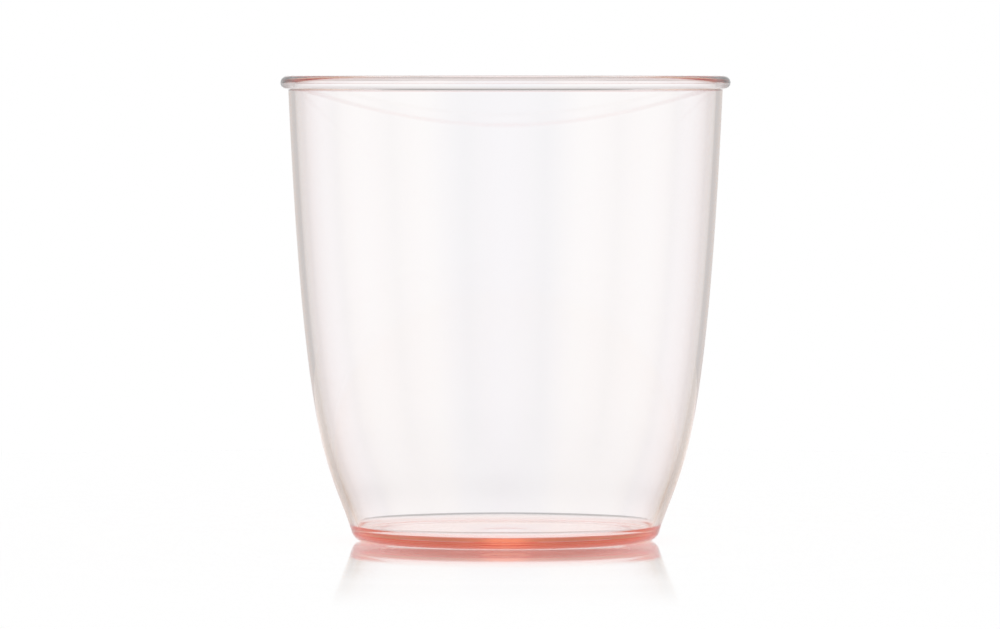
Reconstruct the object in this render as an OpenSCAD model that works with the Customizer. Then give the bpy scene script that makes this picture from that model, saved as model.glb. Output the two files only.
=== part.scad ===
// Clear plastic tumbler, moulded in one piece.
// The axis is Z and the foot stands on z = 0. Lengths are in millimetres, angles in degrees.

/* [Cup] */
// Height from the table to the top of the lip
cup_h = 93; // [70:0.5:130]
// Diameter over the lip
lip_d = 90; // [80:0.5:104]
// Outer diameter of the flat ring that the cup stands on
foot_d = 56.8; // [48:0.2:62]

/* [Wall] */
// Thickness of the wall under the lip
wall_top = 1.3; // [1:0.05:1.6]
// Thickness of the wall at the foot
wall_foot = 1.6; // [1.2:0.05:2.2]
// Lean of the wall away from upright, under the lip
rim_lean = 2.5; // [0:0.1:6]
// Lean of the wall away from upright, at the foot
foot_lean = 17.5; // [10:0.5:28]
// How far down the lean under the lip carries, as a share of the wall's height
rim_sweep = 0.85; // [0.4:0.01:0.9]
// How far up the lean at the foot carries, as a share of the wall's height
foot_sweep = 0.16; // [0.08:0.01:0.3]

/* [Lip] */
// Radius of the rounded top of the lip
lip_round = 1.4; // [1.3:0.05:2]
// Radius of the lip's outer edge, below its widest point
lip_nose = 1.2; // [0.8:0.05:1.3]
// Slope of the lip's underside, away from level
lip_under = 20; // [14:1:40]
// Radius in the corner between the lip's underside and the wall
lip_corner = 0.15; // [0.1:0.05:0.3]

/* [Foot] */
// Thickness of the floor inside the foot ring
floor_t = 2.15; // [1.2:0.05:3]
// Radius of the bottom corner, outside
foot_round = 2.5; // [1.5:0.1:3.5]
// Radius where the wall meets the floor, inside
inner_round = 1.75; // [0.8:0.05:4]
// Width of the flat ring that the cup stands on
ring_w = 2.4; // [1.5:0.1:4]
// Depth of the hollow inside the ring
hollow_h = 0.4; // [0.2:0.05:1.2]
// Width of the slope between the ring and the hollow
slope_w = 3; // [1:0.1:5]

/* [Gate mark] */
// Diameter of the dimple in the middle of the underside
dimple_d = 10; // [5:0.5:14]
// Depth of the dimple
dimple_h = 0.2; // [0.15:0.05:0.6]
// Diameter of the stub that the mould's gate leaves in the dimple
gate_d = 1.6; // [1:0.1:3]
// Height of the stub, which ends inside the dimple
gate_h = 0.1; // [0.05:0.05:0.15]

/* [Smoothness] */
// Steps along the curve of the wall
wall_steps = 36; // [12:4:60]
// Steps for a quarter turn of a rounded edge, and for each soft slope
edge_steps = 9; // [5:1:16]
// Steps around the cup
turn_steps = 144; // [48:12:240]

/* [Hidden] */

// In the section x is the distance from the axis and y the height.
// The direction at an angle, the angle of a direction, and a direction at length 1
function heading(angle) = [cos(angle), sin(angle)];
function angle_of(v) = atan2(v[1], v[0]);
function unit(v) = v / norm(v);

// Points on a rounded edge, at even angles from one end to the other
function rounded(centre, radius, from, to) =
    let (steps = max(2, ceil(abs(to - from) / 90 * edge_steps)))
    [for (i = [0 : steps]) centre + radius * heading(from + (to - from) * i / steps)];

// Points on a slope that leaves and arrives level: half a cosine wave
function soft_slope(from, to) =
    [for (i = [0 : edge_steps])
        let (s = i / edge_steps, rise = (1 - cos(180 * s)) / 2)
        [from[0] + (to[0] - from[0]) * s, from[1] + (to[1] - from[1]) * rise]];

// Place and direction on a cubic Bezier curve, for t from 0 to 1
function curve_at(p, t) =
    (1 - t)^3 * p[0] + 3 * (1 - t)^2 * t * p[1] + 3 * (1 - t) * t^2 * p[2] + t^3 * p[3];
function curve_dir(p, t) =
    unit((1 - t)^2 * (p[1] - p[0]) + 2 * (1 - t) * t * (p[2] - p[1]) + t^2 * (p[3] - p[2]));

// Where a measure that rises with t passes zero, found by halving the stretch that holds it
halvings = 24;
function crossing(measure, low, high, left = halvings) =
    let (mid = (low + high) / 2)
    left == 0 ? mid :
    measure(mid) > 0 ? crossing(measure, low, mid, left - 1) :
    crossing(measure, mid, high, left - 1);

// Centres of the round edges that the main sizes fix
lip_centre = [lip_d / 2 - lip_round, cup_h - lip_round];
nose_centre = [lip_d / 2 - lip_nose, lip_centre[1]];
foot_centre = [foot_d / 2, foot_round];
floor_z = hollow_h + floor_t;

// Outer face of the wall, from the bottom corner (t = 0) up into the lip (t = 1)
wall_low = foot_centre + foot_round * heading(-foot_lean);
wall_high = lip_centre - (lip_round - wall_top) * heading(-rim_lean);
wall_h = wall_high[1] - wall_low[1];
outer_curve = [
    wall_low,
    wall_low + foot_sweep * wall_h * heading(90 - foot_lean),
    wall_high - rim_sweep * wall_h * heading(90 - rim_lean),
    wall_high
];
function outer_at(t) = curve_at(outer_curve, t);

// Out of the wall, square to its outer face
function outward(t) = let (up = curve_dir(outer_curve, t)) [up[1], -up[0]];

// Inner face of the wall: the outer face moved in by a thickness that tapers towards the lip
function inner_at(t) = outer_at(t) - (wall_foot + (wall_top - wall_foot) * t) * outward(t);

// Corner between the wall and the floor, inside: its radius touches both
function inner_centre(t) = inner_at(t) - inner_round * outward(t);
inner_t = crossing(function(t) inner_centre(t)[1] - floor_z - inner_round, -0.2, 0.6);

// Corner between the wall and the lip's underside: its radius touches both
under_up = heading(lip_under + 90);
under_end = nose_centre + lip_nose * heading(lip_under - 90);
function corner_centre(t) = outer_at(t) + lip_corner * outward(t);
corner_t = crossing(
    function(t) (corner_centre(t) - under_end) * under_up + lip_corner, 0.5, 1);

// Flat ring under the cup, and the hollow and the gate mark inside it
ring_r = foot_d / 2 - ring_w;
hollow_r = ring_r - slope_w;
dimple_z = hollow_h + dimple_h;
underside = concat(
    [[0, dimple_z - gate_h], [gate_d / 2, dimple_z - gate_h]],
    soft_slope([gate_d / 2, dimple_z], [dimple_d / 2, hollow_h]),
    soft_slope([hollow_r, hollow_h], [ring_r, 0])
);

// Even steps from one value of t to another
function steps_between(from, to) = [for (i = [0 : wall_steps]) from + (to - from) * i / wall_steps];

// A list of points with each repeat left out, where one edge starts as the last one ends
repeat_gap = 0.001;
function distinct(points) =
    [for (i = [0 : len(points) - 1])
        if (i == 0 || norm(points[i] - points[i - 1]) > repeat_gap) points[i]];

// The outline runs out along the underside, up the outer face, over the lip and down inside
section = distinct(concat(
    underside,
    rounded(foot_centre, foot_round, -90, -foot_lean),
    [for (t = steps_between(0, corner_t)) outer_at(t)],
    rounded(corner_centre(corner_t), lip_corner, angle_of(-outward(corner_t)), lip_under + 90),
    rounded(nose_centre, lip_nose, lip_under - 90, 0),
    rounded(lip_centre, lip_round, 0, 180 - rim_lean),
    [for (t = steps_between(1, inner_t)) inner_at(t)],
    rounded(inner_centre(inner_t), inner_round, angle_of(outward(inner_t)), -90),
    [[0, floor_z]]
));

module tumbler() {
    color("mistyrose", 0.6)
        rotate_extrude($fn = turn_steps)
            polygon(section);
}

tumbler();
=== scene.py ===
# A clear plastic tumbler on a glossy white table, in a white studio
import bpy
import numpy as np
from math import pi, radians
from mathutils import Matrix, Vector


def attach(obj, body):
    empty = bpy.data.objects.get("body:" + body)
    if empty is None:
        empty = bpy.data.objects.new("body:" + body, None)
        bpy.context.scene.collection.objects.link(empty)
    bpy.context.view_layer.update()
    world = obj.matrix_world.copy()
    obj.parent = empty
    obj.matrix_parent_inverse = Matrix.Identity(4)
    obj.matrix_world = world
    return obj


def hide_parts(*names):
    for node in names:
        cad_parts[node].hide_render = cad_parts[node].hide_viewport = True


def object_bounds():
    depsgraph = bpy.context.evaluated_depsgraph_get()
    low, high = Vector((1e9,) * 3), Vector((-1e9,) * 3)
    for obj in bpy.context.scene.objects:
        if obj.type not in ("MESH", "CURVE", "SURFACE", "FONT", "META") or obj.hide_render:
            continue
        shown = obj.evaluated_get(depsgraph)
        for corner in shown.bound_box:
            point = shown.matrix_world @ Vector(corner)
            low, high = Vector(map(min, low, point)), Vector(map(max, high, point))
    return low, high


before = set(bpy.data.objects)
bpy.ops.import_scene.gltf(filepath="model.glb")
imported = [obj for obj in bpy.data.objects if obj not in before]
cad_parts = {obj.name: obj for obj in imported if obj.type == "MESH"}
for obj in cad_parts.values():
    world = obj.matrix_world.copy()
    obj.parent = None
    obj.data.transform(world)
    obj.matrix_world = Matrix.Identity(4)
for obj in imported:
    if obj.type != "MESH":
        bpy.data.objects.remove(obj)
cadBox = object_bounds()
mm = 0.001
white = (1.0, 1.0, 1.0, 1.0)


# Small helpers for node trees

def freshTree(owner):
    owner.use_nodes = True
    owner.node_tree.nodes.clear()
    return owner.node_tree


def addNode(tree, kind, inputs=None, **settings):
    # each input is a fixed value, or another node's socket to link
    node = tree.nodes.new(kind)
    for name, value in settings.items():
        setattr(node, name, value)
    for name, value in (inputs or {}).items():
        if isinstance(value, bpy.types.NodeSocket):
            tree.links.new(value, node.inputs[name])
        else:
            node.inputs[name].default_value = value
    return node


def mathNode(tree, operation, a, b=0.0, c=0.0):
    return addNode(tree, "ShaderNodeMath", {0: a, 1: b, 2: c}, operation=operation).outputs[0]


def smoothNode(tree, value, start, end, atStart=0.0, atEnd=1.0):
    return addNode(tree, "ShaderNodeMapRange", {
        "Value": value, "From Min": start, "From Max": end, "To Min": atStart, "To Max": atEnd},
        interpolation_type="SMOOTHSTEP").outputs[0]


def blendNode(tree, share, first, second, kind="MIX"):
    return addNode(tree, "ShaderNodeMix", {0: share, 6: first, 7: second},
                   data_type="RGBA", blend_type=kind).outputs[2]


def rampNode(tree, value, stops):
    # each stop is a place and the brightness or colour there, and the last place ends the ramp
    reach = stops[-1][0]
    ramp = addNode(tree, "ShaderNodeValToRGB", {"Fac": mathNode(tree, "DIVIDE", value, reach)})
    ramp.color_ramp.interpolation = "EASE"
    elements = ramp.color_ramp.elements
    while len(elements) < len(stops):
        elements.new(0.5)
    for element, (place, colour) in zip(elements, stops):
        element.position = place / reach
        element.color = (*colour, 1.0) if isinstance(colour, tuple) else (colour,) * 3 + (1.0,)
    return ramp.outputs["Color"]


# Camera: the photograph is taken from just above the lip, with a long lens

cameraView = {
    "distance": 1.46,        # from the cup's axis, along the table
    "height": 0.0947,        # above the table
    "sideStep": -0.0011,     # to the left, so the cup stands a little right of the middle
    "tiltDown": 1.940,       # degrees
    "lens": 262.8,           # mm
    "sensor": 36.0,          # mm wide
    "clip": (0.05, 40.0),    # nearest and farthest that it sees
}


def makeCamera(v):
    data = bpy.data.cameras.new("photoCamera")
    data.lens, data.sensor_width = v["lens"], v["sensor"]
    data.clip_start, data.clip_end = v["clip"]
    camera = bpy.data.objects.new("photoCamera", data)
    camera.location = (v["sideStep"], -v["distance"], v["height"])
    camera.rotation_euler = (radians(90 - v["tiltDown"]), 0, 0)
    bpy.context.scene.collection.objects.link(camera)
    bpy.context.scene.camera = camera


makeCamera(cameraView)
print("camera placed")


# World: white to the camera and to the table. What the cup bends is a white wall that greys to
# both sides, eight times in a full turn. What it mirrors inside is a studio with grey gaps.
# Steepness is the sine of a ray's angle above level. Half turns run from 0 on the side towards
# the camera to 1 behind the cup.

studio = {
    # seen straight through the cup: degrees from the nearest eighth turn, and the colour there
    "sides": [(0.0, (0.95, 0.975, 1.0)), (0.6, (0.95, 0.98, 1.0)), (1.2, (0.98, 1.0, 1.0)),
              (3.4, (0.98, 1.0, 1.0)), (4.7, (0.965, 0.985, 1.0)), (6.5, (0.945, 0.945, 0.96)),
              (8.3, (0.93, 0.92, 0.93)), (10.0, (0.91, 0.89, 0.90)), (12.0, (0.88, 0.86, 0.865)),
              (14.0, (0.84, 0.82, 0.825)), (16.0, (0.79, 0.775, 0.78)), (19.0, (0.69, 0.68, 0.69)),
              (22.5, (0.60, 0.59, 0.60))],
    "steep": (0.35, 0.6),    # from here to here, steeper rays leave that grey behind
    # seen straight through as well: steepness, and the brightness there
    "above": [(0.0, 1.0), (0.15, 1.0), (0.25, 0.95), (0.40, 0.85), (0.58, 0.78), (0.68, 0.5),
              (0.74, 0.36), (0.84, 0.36), (0.92, 1.0), (1.0, 1.0)],
    # seen after bounces inside the cup: half turns, and the brightness there
    "around": [(0.0, 0.80), (0.16, 0.82), (0.27, 1.0), (0.50, 1.0), (0.62, 0.85), (0.73, 0.60),
               (0.80, 0.55), (0.845, 0.62), (0.86, 0.57), (0.887, 0.55), (0.91, 0.58), (0.93, 0.63),
               (0.955, 0.70), (0.985, 1.0), (1.0, 1.0)],
    "overhead": (0.65, 0.9),    # from here to here, steeper rays leave those greys behind
    # mirrored on the outside of the cup: half turns, and the brightness there
    "outside": [(0.0, 1.0), (0.80, 1.0), (0.85, 0.7), (0.955, 0.7), (0.972, 1.0), (1.0, 1.0)],
    "outsideSteep": (0.2, 0.3),    # from here to here, steeper rays leave that grey behind
}

# A dark line above the horizon behind the cup, which the table mirrors. The wall's rays leave
# higher up towards the sides, so the line rises and widens with the half turns aside.
horizon = {
    "line": [(0.0, 1.0), (0.006, 0.48), (0.072, 0.48), (0.10, 1.0), (1.0, 1.0)],
    "low": 0.072,            # steepness of its lower edge, right behind the cup
    "rise": (0.5, 10.0),     # how it rises: the first times aside, and the second times its square
    "widening": 70.0,
    "end": (0.05, 0.06),     # half turns aside where it fades out
}

# The light that runs along inside the floor is warm. It is told by its bounces, and a steep way
# out or one to the front or the sides stands for some of them. Light in the lip bounces more
# often and is duller.
floorLight = {
    "warm": (0.96, 0.66, 0.40, 1.0),
    "dusty": (0.70, 1.0, 1.0, 1.0),
    "bounces": 3.5,          # with more than this it is floor light
    "lipBounces": 24.5,      # and with more than this it is lip light
    "rising": (0.18, 0.26),  # steepness that adds bounces, unless the light passed both walls
    "risingBounces": 2.0,
    "sideways": (0.80, 0.84),    # half turns up to which bounces are added
    "sidewaysBounces": 1.0,
}


def seenThrough(tree, s, x, y, z):
    # the grey sides, repeated by folding the angle at each eighth turn, times the greys above
    fold = s["sides"][-1][0]
    degreesRound = mathNode(tree, "DEGREES", mathNode(tree, "ARCTAN2", x, y))
    sides = rampNode(tree, mathNode(tree, "PINGPONG", degreesRound, fold), s["sides"])
    walls = blendNode(tree, smoothNode(tree, mathNode(tree, "ABSOLUTE", z), *s["steep"]), sides, white)
    return blendNode(tree, 1.0, walls, rampNode(tree, z, s["above"]), "MULTIPLY")


def horizonLine(tree, h, z, halfTurns):
    # steepness, less low, less rise, and all of it divided by 1 plus widening times aside
    aside = mathNode(tree, "SUBTRACT", 1.0, halfTurns)
    slope = mathNode(tree, "MULTIPLY_ADD", aside, h["rise"][1], h["rise"][0])
    rise = mathNode(tree, "MULTIPLY", aside, slope)
    over = mathNode(tree, "SUBTRACT", mathNode(tree, "SUBTRACT", z, h["low"]), rise)
    width = mathNode(tree, "MULTIPLY_ADD", aside, h["widening"], 1.0)
    return (rampNode(tree, mathNode(tree, "DIVIDE", over, width), h["line"]),
            smoothNode(tree, aside, *h["end"], 1.0, 0.0))


def floorTone(tree, f, z, halfTurns, bounces, bothWalls):
    # the tone of the light inside the floor, and whether a ray is that light
    steep = mathNode(tree, "MULTIPLY", smoothNode(tree, z, *f["rising"], 0.0, f["risingBounces"]),
                     mathNode(tree, "SUBTRACT", 1.0, bothWalls))
    sideways = smoothNode(tree, halfTurns, *f["sideways"], f["sidewaysBounces"], 0.0)
    score = mathNode(tree, "ADD", bounces, mathNode(tree, "ADD", steep, sideways))
    inLip = mathNode(tree, "GREATER_THAN", bounces, f["lipBounces"])
    return (blendNode(tree, inLip, f["warm"], f["dusty"]),
            mathNode(tree, "GREATER_THAN", score, f["bounces"]))


def makeWorld(s, h, f):
    world = bpy.data.worlds.new("studioWorld")
    bpy.context.scene.world = world
    tree = freshTree(world)
    direction = addNode(tree, "ShaderNodeTexCoord").outputs["Generated"]
    x, y, z = addNode(tree, "ShaderNodeSeparateXYZ", {0: direction}).outputs
    angle = mathNode(tree, "ARCTAN2", x, mathNode(tree, "MULTIPLY", y, -1.0))
    halfTurns = mathNode(tree, "DIVIDE", mathNode(tree, "ABSOLUTE", angle), pi)

    # how a ray came here: bounces off glossy faces, and passes through faces of the cup. A count
    # is told from the next one by a half in between.
    rays = addNode(tree, "ShaderNodeLightPath").outputs
    bounces, passes = rays["Glossy Depth"], rays["Transmission Depth"]
    neverBounced = mathNode(tree, "LESS_THAN", bounces, 0.5)
    oneBounce = mathNode(tree, "COMPARE", bounces, 1.0, 0.5)
    bothWalls = mathNode(tree, "GREATER_THAN", passes, 3.5)
    neverIn = mathNode(tree, "LESS_THAN", passes, 0.5)

    # through both walls and off the table behind them counts as straight through
    viaTable = mathNode(tree, "MULTIPLY", oneBounce, bothWalls)
    straightOn = mathNode(tree, "MAXIMUM", neverBounced, viaTable)
    overhead = smoothNode(tree, z, *s["overhead"])
    mirrored = blendNode(tree, overhead, rampNode(tree, halfTurns, s["around"]), white)
    seen = blendNode(tree, straightOn, mirrored, seenThrough(tree, s, x, y, z))
    line, behind = horizonLine(tree, h, z, halfTurns)
    seen = blendNode(tree, mathNode(tree, "MULTIPLY", viaTable, behind), seen, line, "MULTIPLY")
    tone, inFloor = floorTone(tree, f, z, halfTurns, bounces, bothWalls)
    seen = blendNode(tree, inFloor, seen, tone, "MULTIPLY")

    # what never went into the cup, and white for the camera and for the light on the table
    outsideSteep = smoothNode(tree, mathNode(tree, "ABSOLUTE", z), *s["outsideSteep"])
    outside = blendNode(tree, outsideSteep, rampNode(tree, halfTurns, s["outside"]), white)
    seen = blendNode(tree, neverIn, seen, outside)
    seen = blendNode(tree, rays["Is Camera Ray"], seen, white)
    seen = blendNode(tree, mathNode(tree, "MINIMUM", rays["Diffuse Depth"], 1.0), seen, white)
    background = addNode(tree, "ShaderNodeBackground", {"Color": seen, "Strength": 1.0})
    addNode(tree, "ShaderNodeOutputWorld", {"Surface": background.outputs[0]})


makeWorld(studio, horizon, floorLight)
print("studio lit")


# Table: a small polished white sheet, whose mirror image of the cup fades away from the foot. Its colour
# holds painted shade around the foot.

table = {
    "radius": 0.35,
    "corners": 64,
    "airGap": 0.00001,       # under the foot ring, which touches the table at a few points only
    "polish": 0.04,          # roughness of the mirror image
    # metres from the axis, and the sheet's colour there where it's seen through the cup, which is painted
    # shade: white by the foot, a painted shadow ring 50 to 85 mm out, lighter grey beyond
    "shade": [(0.0, (1.0, 1.0, 1.0)), (0.036, (1.0, 1.0, 1.0)), (0.05, (0.55, 0.52, 0.51)),
              (0.085, (0.55, 0.52, 0.51)), (0.125, (0.80, 0.76, 0.75)), (0.35, (0.80, 0.76, 0.75))],
    # metres from the axis, and the strength of the mirror image there
    "fade": [(0.0, 0.72), (0.055, 0.72), (0.085, 0.5), (0.125, 0.25), (0.19, 0.0)],
    # from seen square on (0) to seen along the sheet (1), and the mirror image's strength there
    "grazing": [(0.0, 0.04), (0.6, 0.12), (0.74, 0.35), (0.85, 0.9), (0.90, 1.0), (1.0, 1.0)],
    # the soft painted shadow in front of the foot, in the sheet's colour for camera rays: its middle, its
    # half sizes, and its strength outwards
    "shadowAt": (0.0, -0.028, 0.0),
    "shadowSize": (0.030, 0.033, 1.0),
    "paintedShadow": [(0.0, 0.42), (0.50, 0.5), (1.0, 1.0)],
}


def polishedWhite(t):
    material = bpy.data.materials.new("polishedWhite")
    tree = freshTree(material)
    place = addNode(tree, "ShaderNodeTexCoord").outputs["Object"]
    away = addNode(tree, "ShaderNodeVectorMath", {0: place}, operation="LENGTH").outputs["Value"]
    rays = addNode(tree, "ShaderNodeLightPath").outputs
    throughCup = rays["Is Transmission Ray"]

    facing = addNode(tree, "ShaderNodeLayerWeight").outputs["Facing"]
    fade = mathNode(tree, "MAXIMUM", rampNode(tree, away, t["fade"]), throughCup)
    share = mathNode(tree, "MULTIPLY", fade, rampNode(tree, facing, t["grazing"]))

    # the painted shadow runs over the distance from its middle, divided by its half sizes
    shift = addNode(tree, "ShaderNodeVectorMath", {0: place, 1: t["shadowAt"]}, operation="SUBTRACT")
    scaled = addNode(tree, "ShaderNodeVectorMath", {0: shift.outputs[0], 1: t["shadowSize"]},
                     operation="DIVIDE")
    outwards = addNode(tree, "ShaderNodeVectorMath", {0: scaled.outputs[0]},
                       operation="LENGTH").outputs["Value"]
    # the painted shadow darkens the sheet's colour for camera rays only
    paintedShadow = blendNode(tree, rays["Is Camera Ray"], white, rampNode(tree, outwards, t["paintedShadow"]))
    # the sheet's colour is painted shade: the shade ramp for rays through the cup, and the painted soft
    # shadow in front of the foot for camera rays
    colour = blendNode(tree, throughCup, paintedShadow, rampNode(tree, away, t["shade"]))

    sheet = addNode(tree, "ShaderNodeBsdfDiffuse", {"Color": colour})
    gloss = addNode(tree, "ShaderNodeBsdfGlossy", {"Color": white, "Roughness": t["polish"]})
    both = addNode(tree, "ShaderNodeMixShader", {0: share, 1: sheet.outputs[0], 2: gloss.outputs[0]})
    addNode(tree, "ShaderNodeOutputMaterial", {"Surface": both.outputs[0]})
    return material


def makeTable(t):
    # a flat disc: radius times the cosine and the sine of even angles
    angles = np.linspace(0, 2 * np.pi, t["corners"], endpoint=False)
    rim = np.stack([np.cos(angles), np.sin(angles), np.zeros_like(angles)], axis=1) * t["radius"]
    mesh = bpy.data.meshes.new("tableTop")
    mesh.from_pydata(rim.tolist(), [], [tuple(range(len(rim)))])
    mesh.materials.append(polishedWhite(t))
    top = bpy.data.objects.new("tableTop", mesh)
    top.location.z = -t["airGap"]
    bpy.context.scene.collection.objects.link(top)


makeTable(table)
print("table laid")


# Cup: one profile turned about the axis, the same section as the CAD solid, in millimetres

cup = {
    "height": cadBox[1].z / mm,
    "lipWidth": (cadBox[1].x - cadBox[0].x) / mm,
    "footWidth": 56.8,       # over the flat ring that the cup stands on
    "wallTop": 1.3,
    "wallFoot": 1.6,
    "rimLean": 2.5,          # degrees away from upright, under the lip
    "footLean": 17.5,        # and at the foot
    "rimSweep": 0.85,        # how far each lean carries, as a share of the wall's height
    "footSweep": 0.16,
    "lipRound": 1.4,
    "lipNose": 1.2,
    "lipUnder": 20.0,        # degrees away from level, for the lip's underside
    "lipCorner": 0.15,
    "floor": 2.15,
    "footRound": 2.5,
    "innerRound": 1.75,
    "ring": 2.4,
    "hollow": 0.4,
    "slope": 3.0,
    "dimpleWidth": 10.0,
    "dimpleDepth": 0.2,
    "gateWidth": 1.6,
    "gateHeight": 0.1,
    # steps along each stretch of the section, and around the cup
    "steps": {"gate": 4, "dimple": 10, "hollow": 12, "slope": 12, "ring": 8, "foot": 16, "wall": 72,
              "corner": 10, "under": 6, "nose": 8, "lip": 28, "inner": 12, "floor": 12,
              "around": 288},
    # where along the wall (0 at the foot, 1 in the lip) each corner is looked for, and how finely
    "floorSearch": (-0.2, 0.4),
    "lipSearch": (0.4, 1.0),
    "tries": 3001,
    "repeatGap": 0.0005,     # points closer together than this are one point
}


def heading(degrees):
    # the direction at an angle, at length 1
    return np.array([np.cos(np.radians(degrees)), np.sin(np.radians(degrees))])


def angleOf(direction):
    return np.degrees(np.arctan2(direction[1], direction[0]))


def roundedEdge(centre, radius, start, end, steps):
    # centre plus radius times the heading, at even angles
    return centre + radius * heading(np.linspace(start, end, steps + 1)).T


def eased(steps):
    # from 0 to 1, with short steps at both ends, where the next edge's shading must not reach in
    return (1 - np.cos(np.pi * np.linspace(0, 1, steps + 1))) / 2


def softSlope(start, end, steps):
    # half a cosine wave, level at both ends
    across = start[0] + (end[0] - start[0]) * np.linspace(0, 1, steps + 1)
    return np.stack([across, start[1] + (end[1] - start[1]) * eased(steps)], axis=1)


def straight(start, end, steps):
    # start plus the way to the end, times a share that eases from 0 to 1
    return np.asarray(start) + (np.asarray(end) - np.asarray(start)) * eased(steps)[:, None]


def cupSection(c):
    steps = c["steps"]
    lipCentre = np.array([c["lipWidth"] / 2 - c["lipRound"], c["height"] - c["lipRound"]])
    noseCentre = np.array([c["lipWidth"] / 2 - c["lipNose"], lipCentre[1]])
    footCentre = np.array([c["footWidth"] / 2, c["footRound"]])
    floorTop = c["hollow"] + c["floor"]
    low = footCentre + c["footRound"] * heading(-c["footLean"])
    high = lipCentre - (c["lipRound"] - c["wallTop"]) * heading(-c["rimLean"])
    rise = high[1] - low[1]
    lowHandle = low + c["footSweep"] * rise * heading(90 - c["footLean"])
    highHandle = high - c["rimSweep"] * rise * heading(90 - c["rimLean"])

    def outerAt(t):
        # cubic Bezier curve from the bottom corner up into the lip
        t = np.atleast_1d(t)[:, None]
        return ((1 - t) ** 3 * low + 3 * (1 - t) ** 2 * t * lowHandle
                + 3 * (1 - t) * t ** 2 * highHandle + t ** 3 * high)

    def outward(t):
        # the curve's direction, turned a quarter turn away from the axis
        t = np.atleast_1d(t)[:, None]
        along = ((1 - t) ** 2 * (lowHandle - low) + 2 * (1 - t) * t * (highHandle - lowHandle)
                 + t ** 2 * (high - highHandle))
        along /= np.linalg.norm(along, axis=1, keepdims=True)
        return np.stack([along[:, 1], -along[:, 0]], axis=1)

    def innerAt(t):
        # the outer face moved in by a thickness that tapers towards the lip
        t = np.atleast_1d(t)
        thickness = c["wallFoot"] + (c["wallTop"] - c["wallFoot"]) * t
        return outerAt(t) - thickness[:, None] * outward(t)

    def crossing(start, end, measure):
        # where a measure that rises along the wall passes zero
        tries = np.linspace(start, end, c["tries"])
        return np.interp(0, measure(tries), tries)

    # the round corners touch the wall and the floor, and the wall and the lip's underside
    def innerCentreAt(t):
        return innerAt(t) - c["innerRound"] * outward(t)

    def cornerCentreAt(t):
        return outerAt(t) + c["lipCorner"] * outward(t)

    underUp = heading(c["lipUnder"] + 90)
    underEnd = noseCentre - c["lipNose"] * underUp
    innerT = crossing(*c["floorSearch"], lambda t: innerCentreAt(t)[:, 1] - floorTop - c["innerRound"])
    cornerT = crossing(*c["lipSearch"], lambda t: (cornerCentreAt(t) - underEnd) @ underUp + c["lipCorner"])
    innerCentre, innerStart = innerCentreAt(innerT)[0], angleOf(outward(innerT)[0])
    cornerCentre, cornerStart = cornerCentreAt(cornerT)[0], angleOf(outward(cornerT)[0]) + 180

    ringInside = c["footWidth"] / 2 - c["ring"]
    hollowEdge = ringInside - c["slope"]
    dimpleTop = c["hollow"] + c["dimpleDepth"]
    gateEnd = dimpleTop - c["gateHeight"]
    gate, dimple = c["gateWidth"] / 2, c["dimpleWidth"] / 2
    points = np.concatenate([
        straight([0, gateEnd], [gate, gateEnd], steps["gate"]),
        softSlope([gate, dimpleTop], [dimple, c["hollow"]], steps["dimple"]),
        straight([dimple, c["hollow"]], [hollowEdge, c["hollow"]], steps["hollow"]),
        softSlope([hollowEdge, c["hollow"]], [ringInside, 0], steps["slope"]),
        straight([ringInside, 0], [footCentre[0], 0], steps["ring"]),
        roundedEdge(footCentre, c["footRound"], -90, -c["footLean"], steps["foot"]),
        outerAt(cornerT * eased(steps["wall"])),
        roundedEdge(cornerCentre, c["lipCorner"], cornerStart, c["lipUnder"] + 90, steps["corner"]),
        straight(cornerCentre + c["lipCorner"] * underUp, underEnd, steps["under"]),
        roundedEdge(noseCentre, c["lipNose"], c["lipUnder"] - 90, 0, steps["nose"]),
        roundedEdge(lipCentre, c["lipRound"], 0, 180 - c["rimLean"], steps["lip"]),
        innerAt(1 + (innerT - 1) * eased(steps["wall"])),
        roundedEdge(innerCentre, c["innerRound"], innerStart, -90, steps["inner"]),
        straight([innerCentre[0], floorTop], [0, floorTop], steps["floor"]),
    ])
    apart = np.linalg.norm(np.diff(points, axis=0), axis=1) > c["repeatGap"]
    return points[np.concatenate([[True], apart])] * mm


def turnedMesh(name, profile, stepsAround):
    # each profile point (r, z) goes round as (r cos a, r sin a, z), and both ends close on the axis
    angles = np.linspace(0, 2 * np.pi, stepsAround, endpoint=False)
    rings = profile[1:-1]
    x = rings[:, 0, None] * np.cos(angles)
    y = rings[:, 0, None] * np.sin(angles)
    z = np.repeat(rings[:, 1, None], stepsAround, axis=1)
    grid = np.stack([x, y, z], axis=2).reshape(-1, 3)
    ends = np.array([[0, 0, profile[0, 1]], [0, 0, profile[-1, 1]]])

    # quads between the rings, and a fan of triangles at each end, all facing outwards
    number = np.arange(len(grid)).reshape(len(rings), stepsAround)
    onward = np.roll(number, -1, axis=1)
    quads = np.stack([number[:-1], onward[:-1], onward[1:], number[1:]], axis=2).reshape(-1, 4)
    bottom, top = np.full(stepsAround, len(grid)), np.full(stepsAround, len(grid) + 1)
    bottomFan = np.stack([bottom, onward[0], number[0]], axis=1)
    topFan = np.stack([top, number[-1], onward[-1]], axis=1)
    mesh = bpy.data.meshes.new(name)
    mesh.from_pydata(np.concatenate([grid, ends]).tolist(), [],
                     quads.tolist() + bottomFan.tolist() + topFan.tolist())
    mesh.shade_smooth()
    return mesh


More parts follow.
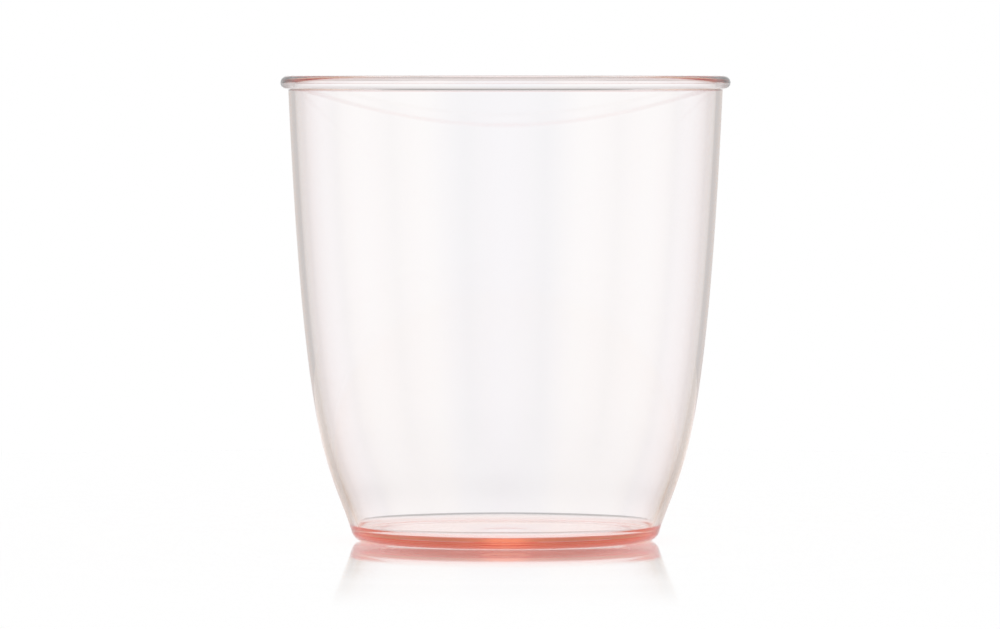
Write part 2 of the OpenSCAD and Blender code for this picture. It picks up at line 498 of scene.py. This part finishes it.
plastic = {
    "refraction": 1.53,
    "roughness": (0.016, 0.024),
    "polishScale": 140.0,    # patches of the mould's polish, per metre
    "polishDetail": 3.0,
    "polishSpread": (0.3, 0.7),    # the part of the noise that spans the roughness
    "waveScale": 70.0,       # soft waves of the moulded surface, per metre
    "waveHeight": 0.000004,  # metres
    "surface": (1.0, 0.998, 1.0, 1.0),
    "tintDepth": 17.0,       # absorption per metre where the tint is 0
    "tint": (0.971, 0.118, 0.0, 1.0),
}


def clearPlastic(p):
    material = bpy.data.materials.new("clearPlastic")
    tree = freshTree(material)
    place = addNode(tree, "ShaderNodeTexCoord").outputs["Object"]
    patches = addNode(tree, "ShaderNodeTexNoise", {
        "Vector": place, "Scale": p["polishScale"], "Detail": p["polishDetail"]})
    roughness = addNode(tree, "ShaderNodeMapRange", {
        "Value": patches.outputs["Fac"], "From Min": p["polishSpread"][0], "From Max": p["polishSpread"][1],
        "To Min": p["roughness"][0], "To Max": p["roughness"][1]}).outputs[0]
    waves = addNode(tree, "ShaderNodeTexNoise", {"Vector": place, "Scale": p["waveScale"], "Detail": 0.0})
    bump = addNode(tree, "ShaderNodeBump", {"Height": waves.outputs["Fac"], "Distance": p["waveHeight"]})
    surface = addNode(tree, "ShaderNodeBsdfPrincipled", {
        "Base Color": p["surface"], "Roughness": roughness, "IOR": p["refraction"],
        "Transmission Weight": 1.0, "Normal": bump.outputs[0]})
    volume = addNode(tree, "ShaderNodeVolumeAbsorption", {"Color": p["tint"], "Density": p["tintDepth"]})
    addNode(tree, "ShaderNodeOutputMaterial", {
        "Surface": surface.outputs[0], "Volume": volume.outputs[0]})
    return material


def makeCup(c, p):
    mesh = turnedMesh("tumblerCup", cupSection(c), c["steps"]["around"])
    mesh.materials.append(clearPlastic(p))
    piece = bpy.data.objects.new("tumblerCup", mesh)
    bpy.context.scene.collection.objects.link(piece)
    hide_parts("tumbler")
    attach(piece, "root")


makeCup(cup, plastic)
print("cup turned")


# Light runs along inside the floor of the cup, so its paths are long, and aren't blurred

lightPaths = {"bounces": 128, "offTheTable": 12, "blur": 0.0}

scene = bpy.context.scene
scene.view_settings.view_transform = "Standard"
scene.cycles.max_bounces = lightPaths["bounces"]
scene.cycles.transmission_bounces = lightPaths["bounces"]
scene.cycles.glossy_bounces = lightPaths["bounces"]
scene.cycles.diffuse_bounces = lightPaths["offTheTable"]
scene.cycles.blur_glossy = lightPaths["blur"]
print("light paths set")
